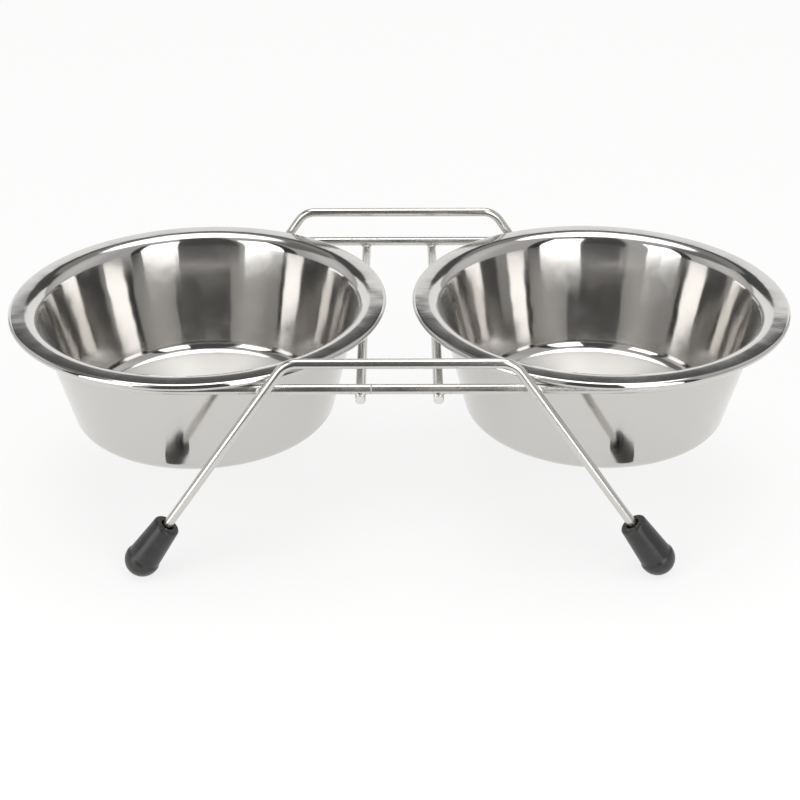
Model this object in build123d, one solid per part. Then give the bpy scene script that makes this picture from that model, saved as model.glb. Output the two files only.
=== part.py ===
from build123d import *
import os
from math import cos, radians, sin, tan

# Raised double pet bowl: two drawn steel bowls hang by their rims in a welded wire stand on rubber feet.
# Millimetres and degrees. X runs along the two bowls, -Y is the front and Z = 0 is the floor.

# Bowl: one drawn sheet, sized on its inner and upper face, with its edge rolled under and pressed flat
RIM_DIAMETER = 160.0
RIM_HEIGHT = 87.0
BOWL_SPACING = 171.0
BOWL_DEPTH = 52.4
SHEET = 0.6
MOUTH_DIAMETER = 137.6
WALL_ANGLE = 14.3
WALL_CORNER_RADIUS = 6.2
RIM_BEND_RADIUS = 6.0
ROLL_THICKNESS = 3.0
HEM_WIDTH = 7.5
KICK_DIAMETER = 55.0
KICK_HEIGHT = 0.8
KICK_RUN = 3.0
KICK_BEND_RADIUS = 4.0

# Stand: round wire, welded where it crosses
WIRE = 4.0
WELD_SET_DOWN = 0.3
SEAT_CLEARANCE = 0.25
RING_RADIUS = 73.3
GRIP_RISE = 13.0
GRIP_WIDTH = 88.0
LEG_BEND_RADIUS = 9.0
LEG_ANGLE = 34.4
CROSSBAR_SPACING = 30.5
CROSSBAR_OVERHANG = 2.3
CUT_EDGE = 0.4

# Feet: tapered rubber tips with a round end, pushed over the leg ends
FOOT_LENGTH = 27.3
FOOT_TOP_DIAMETER = 11.0
FOOT_WAIST_DIAMETER = 13.6
FOOT_BASE_DIAMETER = 14.6
FOOT_BASE_BAND = 0.6
FOOT_STEP = 1.2
FOOT_STEP_RADIUS = 0.6
FOOT_LIP_RADIUS = 1.1
FOOT_MOUTH_DIAMETER = 5.6
FOOT_MOUTH_DEPTH = 2.5
FOOT_BORE_DEPTH = 18.0
FOOT_WEAR = 0.5

# Places that follow from the rim and the wire
bowl_x = BOWL_SPACING / 2
ring_height = RIM_HEIGHT - ROLL_THICKNESS / 2 - SEAT_CLEARANCE - WIRE / 2
weld_step = WIRE - WELD_SET_DOWN
grip_height = ring_height + GRIP_RISE
grip_corner = GRIP_WIDTH / 2
leg_plane = RING_RADIUS + weld_step
crossbar_height = ring_height - weld_step
crossbar_length = 2 * (RING_RADIUS + CROSSBAR_OVERHANG)
leg_direction = Vector(sin(radians(LEG_ANGLE)), 0, -cos(radians(LEG_ANGLE)))


def bowl():
    """A bowl about the Z axis with its rim at the rim's height: the sheet's section, turned."""
    roll_radius = ROLL_THICKNESS / 2
    base = SHEET - BOWL_DEPTH
    kick_radius = KICK_DIAMETER / 2
    mouth_radius = MOUTH_DIAMETER / 2
    wall_foot = mouth_radius - (roll_radius - base) * tan(radians(WALL_ANGLE))
    drawn = FilletPolyline(
        (0, base + KICK_HEIGHT),
        (kick_radius, base + KICK_HEIGHT),
        (kick_radius + KICK_RUN, base),
        (wall_foot, base),
        (mouth_radius, roll_radius),
        (RIM_DIAMETER / 2 - roll_radius, roll_radius),
        radius=[KICK_BEND_RADIUS, KICK_BEND_RADIUS, WALL_CORNER_RADIUS, RIM_BEND_RADIUS],
    )
    roll = JernArc(drawn @ 1, drawn % 1, roll_radius, -180)
    hem = Line(roll @ 1, (RIM_DIAMETER / 2 - HEM_WIDTH, -roll_radius))
    face_line = Wire(drawn.edges() + roll.edges() + hem.edges())
    section = make_face(face_line.offset_2d(SHEET, side=Side.RIGHT))
    return Pos(0, 0, RIM_HEIGHT) * revolve(Plane.XZ * section, Axis.Z)


def wire_along(path):
    """Round wire along a line."""
    return sweep(Plane(path @ 0, z_dir=path % 0) * Circle(WIRE / 2), path=path)


def ring_frame():
    """The loop that carries both rims: half circles round the bowls and straight bars between them."""
    outline = Pos(0, 0, ring_height) * SlotCenterToCenter(BOWL_SPACING, 2 * RING_RADIUS)
    return wire_along(outline.wire())


def crossbar(side):
    """A straight wire under the loop's two bars, with broken edges at its cut ends."""
    rod = extrude(Plane.XZ * Circle(WIRE / 2), crossbar_length / 2, both=True)
    rod = chamfer(rod.edges(), CUT_EDGE)
    return Pos(side * CROSSBAR_SPACING / 2, 0, crossbar_height) * rod


def foot_profile():
    """Half section of a foot: X is the radius and Y runs from the round end up to the top face."""
    top_radius = FOOT_TOP_DIAMETER / 2
    waist_radius = FOOT_WAIST_DIAMETER / 2
    base_radius = FOOT_BASE_DIAMETER / 2
    bore_end = FOOT_LENGTH - FOOT_BORE_DEPTH
    mouth_end = FOOT_LENGTH - FOOT_MOUTH_DEPTH
    lip_height = base_radius + FOOT_BASE_BAND
    ball = CenterArc((0, base_radius), base_radius, -90, 90)
    outside = FilletPolyline(
        ball @ 1,
        (base_radius, lip_height),
        (waist_radius, lip_height + FOOT_STEP),
        (top_radius, FOOT_LENGTH),
        (FOOT_MOUTH_DIAMETER / 2, FOOT_LENGTH),
        radius=[FOOT_STEP_RADIUS, FOOT_STEP_RADIUS, FOOT_LIP_RADIUS],
    )
    bore = Polyline(
        outside @ 1,
        (WIRE / 2, mouth_end),
        (WIRE / 2, bore_end),
        (0, bore_end),
        ball @ 0,
    )
    return make_face(ball.edges() + outside.edges() + bore.edges())


def foot():
    """The front right foot: turned about its leg, lowered until its worn edge lies flat on the floor."""
    leg_line = Plane((0, 0, 0), x_dir=(0, 1, 0), z_dir=-leg_direction)
    tip = leg_line * revolve(Plane.XZ * foot_profile(), Axis.Z)
    base_height = -tip.bounding_box().min.Z - FOOT_WEAR
    base_x = grip_corner + (grip_height - base_height) * tan(radians(LEG_ANGLE))
    base = Vector(base_x, -leg_plane, base_height)
    return split(Pos(base) * tip, bisect_by=Plane.XY, keep=Keep.TOP), base


def leg_wire(foot_base):
    """The front leg wire: a straight grip bar bent down at both ends into splayed legs."""
    end = foot_base - leg_direction * (FOOT_LENGTH - FOOT_BORE_DEPTH)
    line = FilletPolyline(
        (-end.X, end.Y, end.Z),
        (-grip_corner, end.Y, grip_height),
        (grip_corner, end.Y, grip_height),
        (end.X, end.Y, end.Z),
        radius=LEG_BEND_RADIUS,
    )
    return wire_along(line)


def pieces():
    """Every piece by name, in its place."""
    one_bowl = bowl()
    front_right, foot_base = foot()
    front_left = mirror(front_right, about=Plane.YZ)
    front_legs = leg_wire(foot_base)
    return {
        "bowl_left": Pos(-bowl_x, 0, 0) * one_bowl,
        "bowl_right": Pos(bowl_x, 0, 0) * one_bowl,
        "ring_frame": ring_frame(),
        "front_leg_wire": front_legs,
        "rear_leg_wire": mirror(front_legs, about=Plane.XZ),
        "crossbar_left": crossbar(-1),
        "crossbar_right": crossbar(1),
        "front_left_foot": front_left,
        "front_right_foot": front_right,
        "rear_left_foot": mirror(front_left, about=Plane.XZ),
        "rear_right_foot": mirror(front_right, about=Plane.XZ),
    }


os.makedirs("parts", exist_ok=True)
for name, piece in pieces().items():
    export_step(piece, f"parts/{name}.step")
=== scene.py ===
import math

import bmesh
import bpy
from bpy.props import FloatProperty, FloatVectorProperty, IntProperty, PointerProperty
from mathutils import Matrix, Vector


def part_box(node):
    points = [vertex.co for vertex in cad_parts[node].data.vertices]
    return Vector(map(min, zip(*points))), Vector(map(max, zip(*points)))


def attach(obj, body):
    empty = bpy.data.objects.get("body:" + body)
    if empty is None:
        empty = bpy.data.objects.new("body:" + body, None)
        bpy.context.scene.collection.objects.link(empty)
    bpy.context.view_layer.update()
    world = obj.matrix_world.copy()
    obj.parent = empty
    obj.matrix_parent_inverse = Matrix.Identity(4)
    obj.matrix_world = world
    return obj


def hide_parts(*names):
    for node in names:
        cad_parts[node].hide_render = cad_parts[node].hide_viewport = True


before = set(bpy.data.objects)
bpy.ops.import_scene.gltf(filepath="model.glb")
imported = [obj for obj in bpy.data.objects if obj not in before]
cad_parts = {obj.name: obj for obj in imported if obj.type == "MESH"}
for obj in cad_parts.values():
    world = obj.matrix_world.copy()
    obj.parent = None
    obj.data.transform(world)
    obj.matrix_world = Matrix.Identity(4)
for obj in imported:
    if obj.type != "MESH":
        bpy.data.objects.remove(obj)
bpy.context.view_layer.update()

bl_info = {
    "name": "Double pet bowl on a wire stand",
    "version": (1, 0, 0),
    "blender": (4, 5, 0),
    "location": "3D View > Sidebar > Pet bowls",
    "description": "Dresses a raised double pet bowl: steel bowls, wire stand, rubber feet and a studio",
    "category": "Object",
}

MM = 0.001

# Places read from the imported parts, in metres
BOWL_LOW, BOWL_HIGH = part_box("bowl_right")
RING_LOW, RING_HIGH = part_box("ring_frame")
LEG_LOW, LEG_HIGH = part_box("front_leg_wire")
BAR_LOW, BAR_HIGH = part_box("crossbar_right")
WIRE = RING_HIGH.z - RING_LOW.z
BOWL_X = (BOWL_LOW.x + BOWL_HIGH.x) / 2
RIM_RADIUS = (BOWL_HIGH.x - BOWL_LOW.x) / 2
RING_HEIGHT = (RING_LOW.z + RING_HIGH.z) / 2
RING_RADIUS = RING_HIGH.y - WIRE / 2
GRIP_HEIGHT = LEG_HIGH.z - WIRE / 2
LEG_PLANE = -(LEG_LOW.y + LEG_HIGH.y) / 2
BAR_X = (BAR_LOW.x + BAR_HIGH.x) / 2
BAR_HEIGHT = (BAR_LOW.z + BAR_HIGH.z) / 2
BAR_REACH = BAR_HIGH.y


def length_setting(name, millimetres, description):
    """A length, written in millimetres and kept in metres."""
    default = millimetres * MM
    return FloatProperty(name=name, description=description, default=default, unit="LENGTH", precision=4)


def extent_setting(name, millimetres, description):
    """Three lengths along X, Y and Z, written in millimetres and kept in metres."""
    default = [side * MM for side in millimetres]
    return FloatVectorProperty(
        name=name, description=description, default=default, unit="LENGTH", precision=4
    )


def place_setting(name, point, description):
    """A point in metres."""
    return FloatVectorProperty(name=name, description=description, default=point, subtype="XYZ")


def angle_setting(name, degrees, description):
    """An angle, written in degrees and kept in radians."""
    return FloatProperty(name=name, description=description, default=math.radians(degrees), subtype="ANGLE")


def linear(hex_colour):
    """An sRGB hex colour as linear red, green and blue."""
    parts = [int(hex_colour[i : i + 2], 16) / 255 for i in (1, 3, 5)]
    return [c / 12.92 if c <= 0.04045 else ((c + 0.055) / 1.055) ** 2.4 for c in parts]


def colour_setting(name, hex_colour, description):
    """A colour, written as sRGB hex."""
    default = linear(hex_colour)
    return FloatVectorProperty(
        name=name, description=description, default=default, size=3, min=0, max=1, subtype="COLOR"
    )


class BowlSettings(bpy.types.PropertyGroup):
    """Sizes of a bowl on its inner and upper face, and its steel."""

    sheet: length_setting("Sheet", 0.6, "Thickness of the drawn sheet")
    mouth_diameter: length_setting("Mouth", 137.6, "Where the wall's line meets the rim's upper face")
    wall_angle: angle_setting("Wall angle", 14.3, "Lean of the wall")
    corner_radius: length_setting("Corner", 6.2, "Inner radius between base and wall")
    bend_radius: length_setting("Rim bend", 6.0, "Upper radius between wall and rim")
    roll_thickness: length_setting("Roll", 3.0, "Thickness of the flattened roll round the rim")
    hem_width: length_setting("Hem", 7.5, "How far the rolled edge reaches back under the rim")
    kick_diameter: length_setting("Kick diameter", 55.0, "Raised middle of the base")
    kick_height: length_setting("Kick height", 0.8, "Rise of the middle of the base")
    kick_run: length_setting("Kick run", 3.0, "Width of the slope round the raised middle")
    kick_bend: length_setting("Kick bend", 4.0, "Radii of that slope")
    steps: IntProperty(name="Steps", description="Faces round the bowl", default=192, min=24)
    steel: colour_setting("Steel", "#CCCAC7", "Reflected colour of the polished stainless steel")
    # Painted light: the satin colour is set lighter than the polished steel, so the base shows brighter
    # than its real steel
    satin_steel_with_painted_light: colour_setting("Satin steel", "#EAE8E5", "Reflected colour of the satin base")


class WireSettings(bpy.types.PropertyGroup):
    """Sizes of the bent wires, and their plating."""

    grip_width: length_setting("Grip width", 88.0, "Between the two upper corners of a leg wire")
    leg_angle: angle_setting("Leg angle", 34.4, "Lean of the legs")
    leg_bend: length_setting("Leg bend", 9.0, "Bend radius at the upper corners")
    cut_edge: length_setting("Cut edge", 0.4, "Chamfer at the crossbars' ends")
    cross_bead: extent_setting("Cross bead", (2.4, 2.4, 1.0), "Half size of the weld flash under the ring")
    leg_bead: extent_setting("Leg bead", (3.0, 1.0, 2.4), "Half size of the flash between ring and leg")
    butt_bead: extent_setting("Butt bead", (0.6, 2.15, 2.15), "Half size of the collar at the ring's ends")
    butt_place: length_setting("Butt place", -11.0, "Where the ring's ends meet, from the bar's middle")
    unevenness: length_setting("Unevenness", 0.5, "How far the weld flash strays from its round form")
    sides: IntProperty(name="Sides", description="Faces round the wire", default=32, min=8)
    bend_steps: IntProperty(name="Bend steps", description="Points along a leg's bend", default=20, min=4)
    ring_steps: IntProperty(name="Ring steps", description="Points along a quarter ring", default=64, min=8)
    plating: colour_setting("Plating", "#D2D0CC", "Reflected colour of the nickel-chrome plating")
    pitted: colour_setting("Pitted plating", "#8E8B87", "Reflected colour in the pits near the welds")
    sheared: colour_setting("Sheared ends", "#EDECE9", "Reflected colour of the cut ends")


class FootSettings(bpy.types.PropertyGroup):
    """Sizes of a rubber foot, and its rubber."""

    length: length_setting("Length", 27.3, "From the top face to the round end")
    top_diameter: length_setting("Top", 11.0, "Across the top face")
    waist_diameter: length_setting("Waist", 13.6, "Across the wide end of the taper")
    base_diameter: length_setting("Base", 14.6, "Across the round end")
    base_band: length_setting("Base band", 0.6, "Straight band between the round end and the step")
    step: length_setting("Step", 1.2, "Height of the step above the band")
    step_radius: length_setting("Step radius", 0.6, "Rounding of that step")
    lip_radius: length_setting("Top rounding", 1.1, "Rounding of the top edge")
    mouth_diameter: length_setting("Mouth", 5.6, "Across the hole's mouth")
    mouth_depth: length_setting("Mouth depth", 2.5, "Depth of the flared mouth")
    bore_depth: length_setting("Bore depth", 18.0, "Depth of the hole")
    wear: length_setting("Wear", 0.5, "How far the end is worn flat on the floor")
    steps: IntProperty(name="Steps", description="Faces round the foot", default=66, min=12)
    rubber: colour_setting("Rubber", "#262626", "Colour of the rubber")
    bloom: colour_setting("Bloom", "#3A3A38", "Colour of the grey bloom and dust on it")


class StageSettings(bpy.types.PropertyGroup):
    """Camera and floor."""

    lens: FloatProperty(
        name="Lens", description="Focal length on a 36 mm sensor", default=72.87, subtype="DISTANCE_CAMERA"
    )
    eye: place_setting("Eye", (-0.0003, -0.6279, 0.3803), "Where the camera stands")
    target: place_setting("Target", (0.0002, 0.0, 0.0385), "What the camera looks at")
    roll: angle_setting("Roll", -0.124, "Turn of the camera about its view")
    sheet_front: length_setting("Sheet front", 215.0, "How far the sheet reaches in front of the middle")
    sheet_back: length_setting("Sheet back", 1200.0, "How far it reaches behind the middle")
    sheet_side: length_setting("Sheet side", 900.0, "How far it reaches to either side")
    floor: colour_setting("Floor colour", "#F4F4F2", "Colour of the floor")
    whiteness: FloatProperty(
        name="Whiteness",
        description="Share of plain white in the seen floor",
        default=0.8,
        min=0,
        max=1,
        subtype="FACTOR",
    )


def add(tree, kind, inputs=None, **settings):
    """Adds a node, sets its properties and fills its inputs with values or other nodes' outputs."""
    node = tree.nodes.new(kind)
    for key, value in settings.items():
        setattr(node, key, value)
    for key, value in (inputs or {}).items():
        socket = node.inputs[key]
        if isinstance(value, bpy.types.NodeSocket):
            tree.links.new(value, socket)
        else:
            socket.default_value = value
    return node


# Outlines in a half section: X is the radius and Y the height
ARC_STEP = math.radians(4)
ROLL_STEP = math.radians(10)
RUN_MARGIN = 0.4 * MM


def arc(centre, radius, start, turn, step=ARC_STEP):
    """Points on an arc, from the start angle through the turn."""
    count = max(2, math.ceil(abs(turn) / step))
    angles = [start + turn * i / count for i in range(count + 1)]
    return [centre + Vector((math.cos(a), math.sin(a))) * radius for a in angles]


def rounded(points, radii):
    """The polyline with its inner corners rounded, and a point just beside each end of a straight run."""
    corners = [Vector(p) for p in points]
    line = [corners[0]]
    for before, corner, after, radius in zip(corners, corners[1:], corners[2:], radii):
        into = (corner - before).normalized()
        out = (after - corner).normalized()
        turn = math.atan2(into.x * out.y - into.y * out.x, into.dot(out))
        reach = radius * math.tan(abs(turn) / 2)
        side = math.copysign(1, turn)
        centre = corner - into * reach + Vector((-into.y, into.x)) * radius * side
        spoke = corner - into * reach - centre
        line.append(corner - into * (reach + RUN_MARGIN))
        line.extend(arc(centre, radius, math.atan2(spoke.y, spoke.x), turn))
        line.append(corner + out * (reach + RUN_MARGIN))
    line.append(corners[-1])
    return line


def beside(line, distance):
    """The polyline shifted to its right by a distance."""
    directions = [(b - a).normalized() for a, b in zip(line, line[1:])]
    shifted = []
    for point, before, after in zip(line, directions[:1] + directions, directions + directions[-1:]):
        middle = (before + after).normalized()
        stretch = distance / middle.dot(before)
        shifted.append(point + Vector((middle.y, -middle.x)) * stretch)
    return shifted


# Forms made by geometry nodes. The satin mark says how matt each point of a turned form is.
CREASE = math.radians(40)
MERGE_DISTANCE = 0.01 * MM
TURNED_FORM = "Turned form"
SATIN_MARK = "satin"
UNROLLED_MAP = "UVMap"
BEAD_SUBDIVISIONS = 4
FLASH_GRAIN = 1.6 * MM
NOISE_MIDDLE = 0.5


def new_tree(name, inputs):
    """An empty geometry tree with named inputs, given as (name, socket type) pairs."""
    tree = bpy.data.node_groups.new(name, "GeometryNodeTree")
    tree.interface.new_socket("Geometry", in_out="INPUT", socket_type="NodeSocketGeometry")
    for label, socket_type in inputs:
        tree.interface.new_socket(label, in_out="INPUT", socket_type=socket_type)
    tree.interface.new_socket("Geometry", in_out="OUTPUT", socket_type="NodeSocketGeometry")
    return tree, tree.nodes.new("NodeGroupInput").outputs


def finish_tree(tree, geometry, material):
    """Merged doubles, smooth faces, sharp creases, real geometry and one material, to the tree's output."""
    merged = add(tree, "GeometryNodeMergeByDistance", {"Geometry": geometry, "Distance": MERGE_DISTANCE})
    smooth = add(tree, "GeometryNodeSetShadeSmooth", {"Geometry": merged.outputs[0]}, domain="FACE")
    angle = add(tree, "GeometryNodeInputMeshEdgeAngle").outputs["Unsigned Angle"]
    crease = add(tree, "FunctionNodeCompare", {"A": angle, "B": CREASE}, operation="GREATER_THAN")
    sharp = add(
        tree,
        "GeometryNodeSetShadeSmooth",
        {"Geometry": smooth.outputs[0], "Selection": crease.outputs[0], "Shade Smooth": False},
        domain="EDGE",
    )
    real = add(tree, "GeometryNodeRealizeInstances", {"Geometry": sharp.outputs[0]})
    painted = add(tree, "GeometryNodeSetMaterial", {"Geometry": real.outputs[0], "Material": material})
    add(tree, "NodeGroupOutput", {"Geometry": painted.outputs[0]})


def turned_form_tree():
    """Turns a row of outline points, X the radius and Z the height, about the Z axis. It is built once."""
    if TURNED_FORM in bpy.data.node_groups:
        return bpy.data.node_groups[TURNED_FORM]
    tree, given = new_tree(TURNED_FORM, [("Steps", "NodeSocketInt"), ("Material", "NodeSocketMaterial")])
    outline = given["Geometry"]
    rows = add(tree, "GeometryNodeAttributeDomainSize", {"Geometry": outline}).outputs["Point Count"]
    columns = add(tree, "ShaderNodeMath", {0: given["Steps"], 1: 1.0}, operation="ADD").outputs[0]
    grid = add(tree, "GeometryNodeMeshGrid", {"Vertices X": columns, "Vertices Y": rows})
    index = add(tree, "GeometryNodeInputIndex").outputs[0]
    row = add(tree, "ShaderNodeMath", {0: index, 1: rows}, operation="MODULO").outputs[0]
    passed = add(tree, "ShaderNodeMath", {0: index, 1: rows}, operation="DIVIDE").outputs[0]
    column = add(tree, "ShaderNodeMath", {0: passed}, operation="FLOOR").outputs[0]
    share = add(tree, "ShaderNodeMath", {0: column, 1: given["Steps"]}, operation="DIVIDE").outputs[0]
    angle = add(tree, "ShaderNodeMath", {0: share, 1: math.tau}, operation="MULTIPLY").outputs[0]
    point = add(
        tree,
        "GeometryNodeSampleIndex",
        {"Geometry": outline, "Index": row},
        data_type="FLOAT_VECTOR",
        domain="POINT",
    )
    tree.links.new(add(tree, "GeometryNodeInputPosition").outputs[0], point.inputs["Value"])
    part = add(tree, "ShaderNodeSeparateXYZ", {0: point.outputs[0]}).outputs
    flat = add(tree, "ShaderNodeCombineXYZ", {"X": part["X"], "Z": part["Z"]}).outputs[0]
    spun = add(tree, "ShaderNodeVectorRotate", {"Vector": flat, "Angle": angle}, rotation_type="Z_AXIS")
    placed = add(
        tree,
        "GeometryNodeSetPosition",
        {"Geometry": grid.outputs["Mesh"], "Position": spun.outputs[0]},
    )
    unrolled = add(
        tree,
        "GeometryNodeStoreNamedAttribute",
        {"Geometry": placed.outputs[0], "Name": UNROLLED_MAP, "Value": grid.outputs["UV Map"]},
        data_type="FLOAT2",
        domain="CORNER",
    )
    satin = add(tree, "GeometryNodeInputNamedAttribute", {"Name": SATIN_MARK}, data_type="FLOAT")
    finish = add(
        tree,
        "GeometryNodeSampleIndex",
        {"Geometry": outline, "Value": satin.outputs[0], "Index": row},
        data_type="FLOAT",
        domain="POINT",
    )
    marked = add(
        tree,
        "GeometryNodeStoreNamedAttribute",
        {"Geometry": unrolled.outputs[0], "Name": SATIN_MARK, "Value": finish.outputs[0]},
        data_type="FLOAT",
        domain="POINT",
    )
    finish_tree(tree, marked.outputs[0], given["Material"])
    return tree


def bent_wire_tree():
    """Draws a round wire along a polyline, with its corners bent to a radius."""
    tree, given = new_tree(
        "Bent wire",
        [
            ("Diameter", "NodeSocketFloat"),
            ("Bend radius", "NodeSocketFloat"),
            ("Bend steps", "NodeSocketInt"),
            ("Sides", "NodeSocketInt"),
            ("Material", "NodeSocketMaterial"),
        ],
    )
    line = add(tree, "GeometryNodeMeshToCurve", {"Mesh": given["Geometry"]})
    bent = add(
        tree,
        "GeometryNodeFilletCurve",
        {
            "Curve": line.outputs[0],
            "Count": given["Bend steps"],
            "Radius": given["Bend radius"],
            "Limit Radius": True,
        },
        mode="POLY",
    )
    radius = add(tree, "ShaderNodeMath", {0: given["Diameter"], 1: 0.5}, operation="MULTIPLY")
    section = add(
        tree,
        "GeometryNodeCurvePrimitiveCircle",
        {"Resolution": given["Sides"], "Radius": radius.outputs[0]},
    )
    wire = add(
        tree,
        "GeometryNodeCurveToMesh",
        {"Curve": bent.outputs[0], "Profile Curve": section.outputs[0], "Fill Caps": True},
    )
    finish_tree(tree, wire.outputs[0], given["Material"])
    return tree


def weld_flash_tree():
    """Sets a squashed, uneven bead of weld flash on each point."""
    tree, given = new_tree(
        "Weld flash",
        [
            ("Size", "NodeSocketVector"),
            ("Unevenness", "NodeSocketFloat"),
            ("Material", "NodeSocketMaterial"),
        ],
    )
    ball = add(tree, "GeometryNodeMeshIcoSphere", {"Radius": 1.0, "Subdivisions": BEAD_SUBDIVISIONS})
    beads = add(
        tree,
        "GeometryNodeInstanceOnPoints",
        {"Points": given["Geometry"], "Instance": ball.outputs["Mesh"], "Scale": given["Size"]},
    )
    real = add(tree, "GeometryNodeRealizeInstances", {"Geometry": beads.outputs[0]})
    place = add(tree, "GeometryNodeInputPosition").outputs[0]
    lumps = add(tree, "ShaderNodeTexNoise", {"Vector": place, "Scale": 1 / FLASH_GRAIN, "Detail": 2.0})
    rise = add(tree, "ShaderNodeMath", {0: lumps.outputs[0], 1: NOISE_MIDDLE}, operation="SUBTRACT")
    stray = add(tree, "ShaderNodeMath", {0: rise.outputs[0], 1: given["Unevenness"]}, operation="MULTIPLY")
    outward = add(tree, "GeometryNodeInputNormal").outputs[0]
    offset = add(tree, "ShaderNodeVectorMath", {0: outward, "Scale": stray.outputs[0]}, operation="SCALE")
    uneven = add(
        tree,
        "GeometryNodeSetPosition",
        {"Geometry": real.outputs[0], "Offset": offset.outputs[0]},
    )
    finish_tree(tree, uneven.outputs[0], given["Material"])
    return tree


def grow(tree, points, edges, values, satin=None):
    """Runs a tree on a few points and returns the result as a plain mesh."""
    outline = bpy.data.meshes.new("outline")
    outline.from_pydata([tuple(p) for p in points], edges, [])
    if satin:
        outline.attributes.new(SATIN_MARK, "FLOAT", "POINT").data.foreach_set("value", satin)
    holder = bpy.data.objects.new("outline", outline)
    bpy.context.scene.collection.objects.link(holder)
    modifier = holder.modifiers.new("Form", "NODES")
    modifier.node_group = tree
    for socket in tree.interface.items_tree:
        if socket.in_out == "INPUT" and socket.name in values:
            modifier[socket.identifier] = values[socket.name]
    evaluated = holder.evaluated_get(bpy.context.evaluated_depsgraph_get())
    mesh = bpy.data.meshes.new_from_object(evaluated)
    bpy.data.objects.remove(holder)
    bpy.data.meshes.remove(outline)
    return mesh


def make_piece(name, forms, place=Matrix.Identity(4)):
    """Joins grown forms of one material into one mesh object at the origin, with its faces outward."""
    shell = bmesh.new()
    for form in forms:
        shell.from_mesh(form)
    bmesh.ops.recalc_face_normals(shell, faces=shell.faces)
    mesh = forms[0]
    shell.to_mesh(mesh)
    shell.free()
    for form in forms[1:]:
        bpy.data.meshes.remove(form)
    mesh.name = name
    mesh.transform(place)
    piece = bpy.data.objects.new(name, mesh)
    bpy.context.scene.collection.objects.link(piece)
    return piece


def hand_over(piece, node, body):
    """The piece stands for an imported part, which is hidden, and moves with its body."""
    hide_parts(node)
    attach(piece, body)


# Materials. A range holds the noise levels between which a pattern goes from none to full.
def new_material(name):
    """An empty node material, and its node tree."""
    material = bpy.data.materials.new(name)
    material.use_nodes = True
    material.node_tree.nodes.clear()
    return material, material.node_tree


# Stainless steel of the bowls. The base is satin up to where the corner has turned by the satin rise,
# and the rest of the upper face keeps a trace of it. Where it is satin, its colour is painted lighter:
# painted light.
POLISHED_ROUGHNESS = 0.07
SATIN_ROUGHNESS = 0.8
FACE_SATIN = 0.025
SATIN_RISE = math.radians(22)
SMUDGE = 14 * MM
SMUDGE_RANGE = (0.45, 0.75)
SMUDGE_ROUGHNESS = 0.05
# The polish smears what the steel mirrors: how strongly, and how far turned from the line round the bowl,
# in full turns
SMEAR = 0.95
SMEAR_TURN = 0.25
# The real polishing lines are hundredths of a millimetre apart, too fine to show, so they are drawn coarser
LATHE_LINE = 0.7 * MM
LATHE_LINE_HEIGHT = 0.0012 * MM
PRESS_WAVE = 13 * MM
PRESS_WAVE_HEIGHT = 0.09 * MM
RIM_STREAK = 1.3 * MM
RIM_STREAK_HEIGHT = 0.01 * MM
# A faint haze at a glancing view, as fine scratches would give
HAZE = 0.15
HAZE_ROUGHNESS = 0.4


def steel_relief(tree, place, mouth_radius):
    """Polishing lines round the bowl, faint waves from the press and short streaks across the rim."""
    part = add(tree, "ShaderNodeSeparateXYZ", {0: place}).outputs
    mirrored = add(tree, "ShaderNodeMath", {0: part["X"]}, operation="ABSOLUTE").outputs[0]
    off_axis = add(tree, "ShaderNodeMath", {0: mirrored, 1: BOWL_X}, operation="SUBTRACT").outputs[0]
    spoke = add(tree, "ShaderNodeCombineXYZ", {"X": off_axis, "Y": part["Y"]}).outputs[0]
    radius = add(tree, "ShaderNodeVectorMath", {0: spoke}, operation="LENGTH").outputs["Value"]
    half_section = add(tree, "ShaderNodeCombineXYZ", {"X": radius, "Y": part["Z"]}).outputs[0]
    lines = add(
        tree,
        "ShaderNodeTexNoise",
        {"Vector": half_section, "Scale": 1 / LATHE_LINE, "Detail": 2.0},
        noise_dimensions="2D",
    )
    waves = add(tree, "ShaderNodeTexNoise", {"Vector": place, "Scale": 1 / PRESS_WAVE, "Detail": 1.0})
    bearing = add(tree, "ShaderNodeVectorMath", {0: spoke}, operation="NORMALIZE").outputs[0]
    streaks = add(
        tree,
        "ShaderNodeTexNoise",
        {"Vector": bearing, "Scale": RIM_RADIUS / RIM_STREAK, "Detail": 2.0},
    )
    on_rim = add(
        tree,
        "ShaderNodeMapRange",
        {"Value": radius, "From Min": mouth_radius, "From Max": RIM_RADIUS},
    ).outputs[0]
    brushed = add(tree, "ShaderNodeMath", {0: streaks.outputs[0], 1: on_rim}, operation="MULTIPLY")
    below = {}
    for pattern, height in (
        (lines, LATHE_LINE_HEIGHT),
        (waves, PRESS_WAVE_HEIGHT),
        (brushed, RIM_STREAK_HEIGHT),
    ):
        inputs = {"Height": pattern.outputs[0], "Strength": 1.0, "Distance": height}
        relief = add(tree, "ShaderNodeBump", inputs | below).outputs[0]
        below = {"Normal": relief}
    return relief


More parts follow.
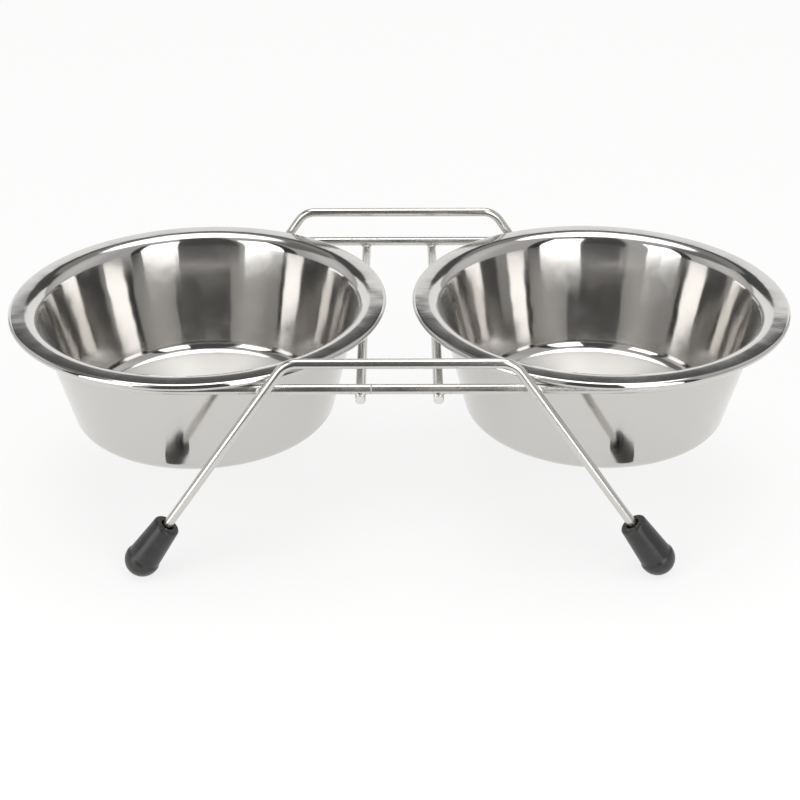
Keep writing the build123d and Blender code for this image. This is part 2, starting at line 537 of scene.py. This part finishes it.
def polished_stainless(settings):
    """Drawn stainless steel, polished on a lathe.

    The polishing lines run round the bowl, so what it mirrors is smeared along the wall and stays sharp
    sideways. The base is satin, and its colour is painted lighter than the steel as painted light. Smudges
    and a faint haze dull the rest a little.
    """
    material, tree = new_material("lathe_polished_stainless_steel")
    place = add(tree, "ShaderNodeTexCoord").outputs["Object"]
    satin = add(tree, "ShaderNodeAttribute", attribute_name=SATIN_MARK).outputs["Fac"]
    smudges = add(tree, "ShaderNodeTexNoise", {"Vector": place, "Scale": 1 / SMUDGE, "Detail": 4.0})
    clean, smudged = SMUDGE_RANGE
    polish = add(
        tree,
        "ShaderNodeMapRange",
        {
            "Value": smudges.outputs[0],
            "From Min": clean,
            "From Max": smudged,
            "To Min": POLISHED_ROUGHNESS,
            "To Max": POLISHED_ROUGHNESS + SMUDGE_ROUGHNESS,
        },
    )
    roughness = add(
        tree,
        "ShaderNodeMapRange",
        {"Value": satin, "To Min": polish.outputs[0], "To Max": SATIN_ROUGHNESS},
    )
    # Painted light: the satin mark mixes the steel towards the lighter satin colour, so the base is painted
    # brighter
    tone = add(
        tree,
        "ShaderNodeMix",
        {"Factor": satin, "A": (*settings.steel, 1), "B": (*settings.satin_steel_with_painted_light, 1)},
        data_type="RGBA",
    )
    around = add(tree, "ShaderNodeTangent", direction_type="UV_MAP", uv_map=UNROLLED_MAP)
    surface = add(
        tree,
        "ShaderNodeBsdfPrincipled",
        {
            "Base Color": tone.outputs["Result"],
            "Metallic": 1.0,
            "Roughness": roughness.outputs[0],
            "Anisotropic": SMEAR,
            "Anisotropic Rotation": SMEAR_TURN,
            "Tangent": around.outputs[0],
            "Sheen Weight": HAZE,
            "Sheen Roughness": HAZE_ROUGHNESS,
            "Normal": steel_relief(tree, place, settings.mouth_diameter / 2),
        },
    )
    add(tree, "ShaderNodeOutputMaterial", {"Surface": surface.outputs[0]})
    return material


# Plating of the wires
WIRE_ROUGHNESS = 0.22
HEAT_REACH = 16 * MM
HEAT_ROUGHNESS = 0.08
PIT = 1.2 * MM
PIT_RANGE = (0.68, 0.88)
PIT_HEAT = 0.1
PIT_ROUGHNESS = 0.2
WIRE_WAVE = 5 * MM
WIRE_WAVE_HEIGHT = 0.05 * MM
SHEARED_ROUGHNESS = 0.55


def plated_wire(settings):
    """Drawn steel wire, welded and then plated with bright nickel-chrome.

    The plating covers the fine lines of the drawn wire, so it mirrors softly. Near the welds it is duller
    and pitted and the wire a little uneven, and the sheared ends are matt.
    """
    material, tree = new_material("nickel_chrome_plated_wire")
    place = add(tree, "ShaderNodeTexCoord").outputs["Object"]
    corner = add(tree, "ShaderNodeVectorMath", {0: place}, operation="ABSOLUTE").outputs[0]
    distances = []
    for x, y in ((BAR_X, RING_RADIUS), leg_weld(settings)):
        weld = (x, y, RING_HEIGHT)
        gap = add(tree, "ShaderNodeVectorMath", {0: corner, 1: weld}, operation="DISTANCE")
        distances.append(gap.outputs["Value"])
    nearest = add(tree, "ShaderNodeMath", {0: distances[0], 1: distances[1]}, operation="MINIMUM")
    heat = add(
        tree,
        "ShaderNodeMapRange",
        {
            "Value": nearest.outputs[0],
            "From Min": WIRE,
            "From Max": HEAT_REACH,
            "To Min": 1.0,
            "To Max": 0.0,
        },
    ).outputs[0]
    specks = add(tree, "ShaderNodeTexNoise", {"Vector": place, "Scale": 1 / PIT, "Detail": 3.0}).outputs[0]
    raised = add(tree, "ShaderNodeMath", {0: heat, 1: PIT_HEAT, 2: specks}, operation="MULTIPLY_ADD")
    bright, pitted = PIT_RANGE
    pits = add(
        tree,
        "ShaderNodeMapRange",
        {"Value": raised.outputs[0], "From Min": bright, "From Max": pitted},
    ).outputs[0]
    sheared = add(tree, "ShaderNodeAttribute", attribute_name=SATIN_MARK).outputs["Fac"]
    roughness = WIRE_ROUGHNESS
    for mask, more in ((heat, HEAT_ROUGHNESS), (pits, PIT_ROUGHNESS), (sheared, SHEARED_ROUGHNESS)):
        rougher = add(tree, "ShaderNodeMath", {0: mask, 1: more, 2: roughness}, operation="MULTIPLY_ADD")
        roughness = rougher.outputs[0]
    dull = add(
        tree,
        "ShaderNodeMix",
        {"Factor": pits, "A": (*settings.plating, 1), "B": (*settings.pitted, 1)},
        data_type="RGBA",
    )
    tone = add(
        tree,
        "ShaderNodeMix",
        {"Factor": sheared, "A": dull.outputs["Result"], "B": (*settings.sheared, 1)},
        data_type="RGBA",
    )
    waves = add(tree, "ShaderNodeTexNoise", {"Vector": place, "Scale": 1 / WIRE_WAVE, "Detail": 3.0})
    uneven = add(tree, "ShaderNodeMath", {0: waves.outputs[0], 1: heat}, operation="MULTIPLY")
    bumps = add(
        tree,
        "ShaderNodeBump",
        {"Height": uneven.outputs[0], "Strength": 1.0, "Distance": WIRE_WAVE_HEIGHT},
    )
    surface = add(
        tree,
        "ShaderNodeBsdfPrincipled",
        {
            "Base Color": tone.outputs["Result"],
            "Metallic": 1.0,
            "Roughness": roughness,
            "Normal": bumps.outputs[0],
        },
    )
    add(tree, "ShaderNodeOutputMaterial", {"Surface": surface.outputs[0]})
    return material


# Rubber of the feet
RUBBER_ROUGHNESS = (0.24, 0.4)
BLOOM_PATCH = 5 * MM
BLOOM_RANGE = (0.4, 0.8)
BLOOM_SHARE = 0.6
DUST_HEIGHT = 5 * MM
DUST_SHARE = 0.5
RUBBER_GRAIN = 0.5 * MM
RUBBER_GRAIN_HEIGHT = 0.015 * MM


def moulded_rubber(settings):
    """Charcoal rubber from a mould: a faint grain, patches of grey bloom and dust near the floor."""
    material, tree = new_material("moulded_charcoal_rubber")
    place = add(tree, "ShaderNodeTexCoord").outputs["Object"]
    noise = add(tree, "ShaderNodeTexNoise", {"Vector": place, "Scale": 1 / BLOOM_PATCH, "Detail": 4.0})
    patches = noise.outputs[0]
    height = add(tree, "ShaderNodeSeparateXYZ", {0: place}).outputs["Z"]
    dust = add(
        tree,
        "ShaderNodeMapRange",
        {"Value": height, "From Max": DUST_HEIGHT, "To Min": DUST_SHARE, "To Max": 0.0},
    )
    plain, bloomed = BLOOM_RANGE
    bloom = add(
        tree,
        "ShaderNodeMapRange",
        {"Value": patches, "From Min": plain, "From Max": bloomed, "To Max": BLOOM_SHARE},
    )
    greyness = add(tree, "ShaderNodeMath", {0: dust.outputs[0], 1: bloom.outputs[0]}, operation="MAXIMUM")
    tone = add(
        tree,
        "ShaderNodeMix",
        {"Factor": greyness.outputs[0], "A": (*settings.rubber, 1), "B": (*settings.bloom, 1)},
        data_type="RGBA",
    )
    shine, matt = RUBBER_ROUGHNESS
    roughness = add(tree, "ShaderNodeMapRange", {"Value": patches, "To Min": shine, "To Max": matt})
    grain = add(tree, "ShaderNodeTexNoise", {"Vector": place, "Scale": 1 / RUBBER_GRAIN, "Detail": 2.0})
    bumps = add(
        tree,
        "ShaderNodeBump",
        {"Height": grain.outputs[0], "Strength": 1.0, "Distance": RUBBER_GRAIN_HEIGHT},
    )
    surface = add(
        tree,
        "ShaderNodeBsdfPrincipled",
        {
            "Base Color": tone.outputs["Result"],
            "Roughness": roughness.outputs[0],
            "Normal": bumps.outputs[0],
        },
    )
    add(tree, "ShaderNodeOutputMaterial", {"Surface": surface.outputs[0]})
    return material


def bowl_section(settings):
    """Outline of the sheet, along its face and back along its underside, and each point's satin mark."""
    roll = settings.roll_thickness / 2
    rim_height = BOWL_HIGH.z - roll
    base = BOWL_LOW.z - rim_height + settings.sheet
    mouth = settings.mouth_diameter / 2
    wall_foot = mouth - (roll - base) * math.tan(settings.wall_angle)
    kick = settings.kick_diameter / 2
    face = rounded(
        [
            (0, base + settings.kick_height),
            (kick, base + settings.kick_height),
            (kick + settings.kick_run, base),
            (wall_foot, base),
            (mouth, roll),
            (RIM_RADIUS - roll, roll),
        ],
        [settings.kick_bend, settings.kick_bend, settings.corner_radius, settings.bend_radius],
    )
    face[-1:] = arc(Vector((RIM_RADIUS - roll, 0)), roll, math.pi / 2, -math.pi, ROLL_STEP)
    face.append(Vector((RIM_RADIUS - settings.hem_width, -roll)))
    section = face + beside(face, settings.sheet)[::-1]
    points = [(p.x, 0, p.y + rim_height) for p in section]
    bend_reach = math.tan((math.pi / 2 - settings.wall_angle) / 2)
    flat_base = wall_foot - settings.corner_radius * bend_reach
    satin_base = flat_base + settings.corner_radius * math.sin(SATIN_RISE)
    satin = [1.0 if p.x < satin_base else FACE_SATIN for p in face] + [0.0] * len(face)
    return points, satin


class PETBOWL_OT_bowls(bpy.types.Operator):
    """Turn the two steel bowls from the section of their sheet"""

    bl_idname = "petbowl.bowls"
    bl_label = "Bowls"

    def execute(self, context):
        settings = context.scene.petbowl_bowls
        points, satin = bowl_section(settings)
        values = {"Steps": settings.steps, "Material": polished_stainless(settings)}
        for side, x in (("left", -BOWL_X), ("right", BOWL_X)):
            form = grow(turned_form_tree(), points, [], values, satin)
            piece = make_piece(f"{side}_steel_bowl", [form], Matrix.Translation((x, 0, 0)))
            hand_over(piece, f"bowl_{side}", f"bowl_{side}")
        return {"FINISHED"}


def leg_point(wires, height):
    """Where the right leg's line passes a height, as a distance from the middle."""
    return wires.grip_width / 2 + (GRIP_HEIGHT - height) * math.tan(wires.leg_angle)


def leg_weld(wires):
    """Where the right front leg wire is welded to the ring, as distances from the middle along X and Y."""
    return leg_point(wires, RING_HEIGHT), (RING_RADIUS + LEG_PLANE) / 2


def weld_flash(settings, plating):
    """Beads between ring and crossbars, between ring and legs, and where the ring's ends meet."""
    tree = weld_flash_tree()
    signs = [(i, j) for i in (-1, 1) for j in (-1, 1)]
    cross_height = (RING_HEIGHT + BAR_HEIGHT) / 2
    leg_x, leg_y = leg_weld(settings)
    welds = (
        (settings.cross_bead, [(i * BAR_X, j * RING_RADIUS, cross_height) for i, j in signs]),
        (settings.leg_bead, [(i * leg_x, j * leg_y, RING_HEIGHT) for i, j in signs]),
        (settings.butt_bead, [(settings.butt_place, -RING_RADIUS, RING_HEIGHT)]),
    )
    forms = []
    for size, points in welds:
        values = {"Size": size, "Unevenness": settings.unevenness, "Material": plating}
        forms.append(grow(tree, points, [], values))
    return forms


def bend_ring(settings, tree, values):
    """The loop that carries both rims, with its weld flash."""
    end = BOWL_X + RING_RADIUS
    corners = ((-end, -RING_RADIUS), (end, -RING_RADIUS), (end, RING_RADIUS), (-end, RING_RADIUS))
    points = [(x, y, RING_HEIGHT) for x, y in corners]
    bends = {"Bend radius": RING_RADIUS, "Bend steps": settings.ring_steps}
    ring = grow(tree, points, [(0, 1), (1, 2), (2, 3), (3, 0)], values | bends)
    piece = make_piece("bowl_ring_wire", [ring, *weld_flash(settings, values["Material"])])
    hand_over(piece, "ring_frame", "stand")


def bend_legs(settings, tree, values):
    """The front and rear leg wires: a grip bar between two splayed legs."""
    corner = settings.grip_width / 2
    end_height = LEG_LOW.z + WIRE / 2 * math.sin(settings.leg_angle)
    end = leg_point(settings, end_height)
    line = ((-end, end_height), (-corner, GRIP_HEIGHT), (corner, GRIP_HEIGHT), (end, end_height))
    bends = {"Bend radius": settings.leg_bend, "Bend steps": settings.bend_steps}
    for side, y in (("front", -LEG_PLANE), ("rear", LEG_PLANE)):
        points = [(x, y, z) for x, z in line]
        legs = grow(tree, points, [(0, 1), (1, 2), (2, 3)], values | bends)
        piece = make_piece(f"{side}_leg_bent_wire", [legs])
        hand_over(piece, f"{side}_leg_wire", "stand")


def cut_crossbars(settings, plating):
    """The two straight wires under the ring, with broken edges and matt ends."""
    radius = WIRE / 2
    cut = settings.cut_edge
    half = [(radius, BAR_REACH - cut), (radius - cut, BAR_REACH), (0, BAR_REACH)]
    rod = [(r, 0, -h) for r, h in reversed(half)] + [(r, 0, h) for r, h in half]
    sheared = [float(r < radius) for r, _, _ in rod]
    values = {"Steps": settings.sides, "Material": plating}
    lying = Matrix.Rotation(math.pi / 2, 4, "X")
    for side, x in (("left", -BAR_X), ("right", BAR_X)):
        form = grow(turned_form_tree(), rod, [], values, sheared)
        place = Matrix.Translation((x, 0, BAR_HEIGHT)) @ lying
        piece = make_piece(f"{side}_cross_wire", [form], place)
        hand_over(piece, f"crossbar_{side}", "stand")


class PETBOWL_OT_wires(bpy.types.Operator):
    """Bend the ring and the leg wires, and cut the crossbars"""

    bl_idname = "petbowl.wires"
    bl_label = "Wires"

    def execute(self, context):
        settings = context.scene.petbowl_wires
        plating = plated_wire(settings)
        tree = bent_wire_tree()
        values = {"Diameter": WIRE, "Sides": settings.sides, "Material": plating}
        bend_ring(settings, tree, values)
        bend_legs(settings, tree, values)
        cut_crossbars(settings, plating)
        return {"FINISHED"}


def foot_section(settings):
    """Half section of a foot: X is the radius and Y runs from the round end up to the top face."""
    base_radius = settings.base_diameter / 2
    lip_height = base_radius + settings.base_band
    ball = arc(Vector((0, base_radius)), base_radius, -math.pi / 2, math.pi / 2)
    taper = rounded(
        [
            ball[-1],
            (base_radius, lip_height),
            (settings.waist_diameter / 2, lip_height + settings.step),
            (settings.top_diameter / 2, settings.length),
            (settings.mouth_diameter / 2, settings.length),
        ],
        [settings.step_radius, settings.step_radius, settings.lip_radius],
    )
    bore = [
        (WIRE / 2, settings.length - settings.mouth_depth),
        (WIRE / 2, settings.length - settings.bore_depth),
        (0, settings.length - settings.bore_depth),
    ]
    return ball[:-1] + taper + [Vector(p) for p in bore]


class PETBOWL_OT_feet(bpy.types.Operator):
    """Turn the four rubber feet and stand them on the leg ends"""

    bl_idname = "petbowl.feet"
    bl_label = "Feet"

    def execute(self, context):
        settings = context.scene.petbowl_feet
        wires = context.scene.petbowl_wires
        section = foot_section(settings)
        lean = wires.leg_angle
        lowest = min(p.y * math.cos(lean) - p.x * math.sin(lean) for p in section)
        height = -lowest - settings.wear
        reach = leg_point(wires, height)
        points = [(p.x, 0, p.y) for p in section]
        values = {"Steps": settings.steps, "Material": moulded_rubber(settings)}
        for depth, y in (("front", -LEG_PLANE), ("rear", LEG_PLANE)):
            for side, sign in (("left", -1), ("right", 1)):
                leaning = Matrix.Rotation(-sign * lean, 4, "Y")
                place = Matrix.Translation((sign * reach, y, height)) @ leaning
                form = grow(turned_form_tree(), points, [], values)
                piece = make_piece(f"{depth}_{side}_rubber_foot", [form], place)
                for vertex in piece.data.vertices:
                    vertex.co.z = max(vertex.co.z, 0)
                hand_over(piece, f"{depth}_{side}_foot", "stand")
        return {"FINISHED"}


# The studio: soft panels painted over a grey room, later ones over earlier ones.
# Azimuth 0 is behind the object and 180 is the camera's side, elevation 0 is the horizon.
# Each panel: azimuth, elevation, half width, half height and soft edge in degrees, and its brightness
ROOM = 0.52
PANELS = {
    "left side wall": (-72, 30, 20, 25, 30, 0.75),
    "right side wall": (72, 30, 20, 25, 30, 0.75),
    "backdrop": (0, 5, 38, 20.4, 1, 1.1),
    "backdrop's left corner": (-22, 26, 10, 2, 3, 0.3),
    "dark gap over the backdrop": (0, 33.3, 42, 8, 4, 0.08),
    "upper backdrop": (0, 50, 47, 9, 4, 0.3),
    "left upper wall": (-75, 50, 30, 10, 5, 0.2),
    "camera side": (180, 10, 25, 68, 6, 0.09),
}
# The overhead lamp is round: elevation, half width and soft edge in degrees, and its brightness
OVERHEAD = (82, 24.5, 3, 3.0)
# The side lamps and the dark boards beside them stand near, so each bowl mirrors them a little differently.
# Each card: azimuth in degrees, distance from the middle, half width, bottom and top in millimetres,
# and its brightness
CARDS = {
    "left_lamp": (-129, 660, 170, -70, 850, 2.8),
    "left_dark_board": (-123, 720, 240, -330, 1100, 0.05),
    "right_lamp": (150, 750, 200, -150, 1140, 2.8),
    "right_dark_board": (145, 810, 280, -500, 1500, 0.05),
}
# Strength of light that the camera sees as white
WHITE = 1.0


def studio_world():
    """A grey room with soft walls, dark gaps and a lamp overhead, which the metal mirrors.

    The camera itself sees plain white.
    """
    world = bpy.data.worlds.new("studio")
    world.use_nodes = True
    tree = world.node_tree
    tree.nodes.clear()
    direction = add(tree, "ShaderNodeTexCoord").outputs["Generated"]
    part = add(tree, "ShaderNodeSeparateXYZ", {0: direction}).outputs
    azimuth = add(tree, "ShaderNodeMath", {0: part["X"], 1: part["Y"]}, operation="ARCTAN2").outputs[0]
    elevation = add(tree, "ShaderNodeMath", {0: part["Z"]}, operation="ARCSINE").outputs[0]

    def inside(angle, half_width, edge):
        """One within the half width of a panel and zero outside, with a soft edge."""
        limits = {
            "Value": angle,
            "From Min": math.radians(half_width - edge / 2),
            "From Max": math.radians(half_width + edge / 2),
            "To Min": 1.0,
            "To Max": 0.0,
        }
        return add(tree, "ShaderNodeMapRange", limits, interpolation_type="SMOOTHSTEP").outputs[0]

    layers = []
    for bearing, height, half_width, half_height, edge, brightness in PANELS.values():
        turn = add(tree, "ShaderNodeMath", {0: azimuth, 1: math.radians(bearing)}, operation="SUBTRACT")
        wrap = add(tree, "ShaderNodeMath", {0: turn.outputs[0]}, operation="COSINE")
        sideways = add(tree, "ShaderNodeMath", {0: wrap.outputs[0]}, operation="ARCCOSINE")
        lift = add(tree, "ShaderNodeMath", {0: elevation, 1: math.radians(height)}, operation="SUBTRACT")
        upward = add(tree, "ShaderNodeMath", {0: lift.outputs[0]}, operation="ABSOLUTE")
        across = inside(sideways.outputs[0], half_width, edge)
        along = inside(upward.outputs[0], half_height, edge)
        share = add(tree, "ShaderNodeMath", {0: across, 1: along}, operation="MULTIPLY")
        layers.append((share.outputs[0], brightness))
    height, half_width, edge, brightness = OVERHEAD
    axis = (0, math.cos(math.radians(height)), math.sin(math.radians(height)))
    closeness = add(tree, "ShaderNodeVectorMath", {0: direction, 1: axis}, operation="DOT_PRODUCT")
    gap = add(tree, "ShaderNodeMath", {0: closeness.outputs["Value"]}, operation="ARCCOSINE")
    layers.append((inside(gap.outputs[0], half_width, edge), brightness))
    layers.append((add(tree, "ShaderNodeLightPath").outputs["Is Camera Ray"], WHITE))

    level = ROOM
    for share, brightness in layers:
        inputs = {"Factor": share, "A": level, "B": brightness}
        level = add(tree, "ShaderNodeMix", inputs, data_type="FLOAT").outputs[0]
    light = add(tree, "ShaderNodeBackground", {"Color": (1, 1, 1, 1), "Strength": level})
    add(tree, "ShaderNodeOutputWorld", {"Surface": light.outputs[0]})
    return world


def flat_sheet(name, corners, material):
    """A flat sheet between four corners."""
    mesh = bpy.data.meshes.new(name)
    mesh.from_pydata([tuple(corner) for corner in corners], [], [(0, 1, 2, 3)])
    mesh.materials.append(material)
    sheet = bpy.data.objects.new(name, mesh)
    bpy.context.scene.collection.objects.link(sheet)
    return sheet


def hang_card(name, azimuth, distance, half_width, bottom, top, brightness):
    """An upright card that faces the object, lights it and shows in its mirrors, but not to the camera."""
    turn = math.radians(azimuth)
    middle = Vector((math.sin(turn), math.cos(turn), 0)) * distance * MM
    across = Vector((math.cos(turn), -math.sin(turn), 0)) * half_width * MM
    low = Vector((0, 0, bottom)) * MM
    high = Vector((0, 0, top)) * MM
    left = middle - across
    right = middle + across
    material, tree = new_material(name)
    glow = add(tree, "ShaderNodeEmission", {"Color": (1, 1, 1, 1), "Strength": brightness})
    add(tree, "ShaderNodeOutputMaterial", {"Surface": glow.outputs[0]})
    card = flat_sheet(name, (left + low, right + low, right + high, left + high), material)
    card.visible_camera = False


def lay_floor(settings):
    """A pale sheet that is seen nearly white and keeps a soft shadow of the object."""
    side = settings.sheet_side
    front = -settings.sheet_front
    back = settings.sheet_back
    material, tree = new_material("floor")
    shaded = add(tree, "ShaderNodeBsdfDiffuse", {"Color": (*settings.floor, 1)})
    white = add(tree, "ShaderNodeEmission", {"Color": (1, 1, 1, 1), "Strength": WHITE})
    ray = add(tree, "ShaderNodeLightPath").outputs
    rays = {0: ray["Is Camera Ray"], 1: ray["Is Glossy Ray"]}
    seen = add(tree, "ShaderNodeMath", rays, operation="MAXIMUM").outputs[0]
    share = add(tree, "ShaderNodeMath", {0: seen, 1: settings.whiteness}, operation="MULTIPLY").outputs[0]
    surface = add(tree, "ShaderNodeMixShader", {0: share, 1: shaded.outputs[0], 2: white.outputs[0]})
    add(tree, "ShaderNodeOutputMaterial", {"Surface": surface.outputs[0]})
    corners = ((-side, front, 0), (side, front, 0), (side, back, 0), (-side, back, 0))
    floor = flat_sheet("floor", corners, material)


def place_camera(settings):
    """The camera, aimed at its target and rolled a little about its view."""
    camera = bpy.data.objects.new("camera", bpy.data.cameras.new("camera"))
    camera.data.lens = settings.lens
    camera.location = settings.eye
    look = Vector(settings.target) - Vector(settings.eye)
    turn = Matrix.Rotation(settings.roll, 3, "Z")
    camera.rotation_euler = (look.to_track_quat("-Z", "Y").to_matrix() @ turn).to_euler()
    bpy.context.scene.collection.objects.link(camera)
    bpy.context.scene.camera = camera


class PETBOWL_OT_stage(bpy.types.Operator):
    """Set the floor, the soft studio light and the camera"""

    bl_idname = "petbowl.stage"
    bl_label = "Stage"

    def execute(self, context):
        settings = context.scene.petbowl_stage
        lay_floor(settings)
        context.scene.world = studio_world()
        for name, values in CARDS.items():
            hang_card(name, *values)
        place_camera(settings)
        context.scene.view_settings.view_transform = "Standard"
        return {"FINISHED"}


class PETBOWL_PT_panel(bpy.types.Panel):
    """The pieces of the double pet bowl"""

    bl_idname = "PETBOWL_PT_panel"
    bl_label = "Double pet bowl"
    bl_space_type = "VIEW_3D"
    bl_region_type = "UI"
    bl_category = "Pet bowls"

    def draw(self, context):
        for operator in OPERATORS:
            self.layout.operator(operator.bl_idname)


SETTINGS = {
    "petbowl_bowls": BowlSettings,
    "petbowl_wires": WireSettings,
    "petbowl_feet": FootSettings,
    "petbowl_stage": StageSettings,
}
OPERATORS = [PETBOWL_OT_bowls, PETBOWL_OT_wires, PETBOWL_OT_feet, PETBOWL_OT_stage]


def register():
    for name, group in SETTINGS.items():
        bpy.utils.register_class(group)
        setattr(bpy.types.Scene, name, PointerProperty(type=group))
    for shown in [*OPERATORS, PETBOWL_PT_panel]:
        bpy.utils.register_class(shown)


def unregister():
    for shown in [PETBOWL_PT_panel, *reversed(OPERATORS)]:
        bpy.utils.unregister_class(shown)
    for name, group in reversed(SETTINGS.items()):
        delattr(bpy.types.Scene, name)
        bpy.utils.unregister_class(group)


def main():
    register()
    bpy.ops.petbowl.bowls()
    bpy.ops.petbowl.wires()
    bpy.ops.petbowl.feet()
    bpy.ops.petbowl.stage()


if __name__ == "__main__":
    main()
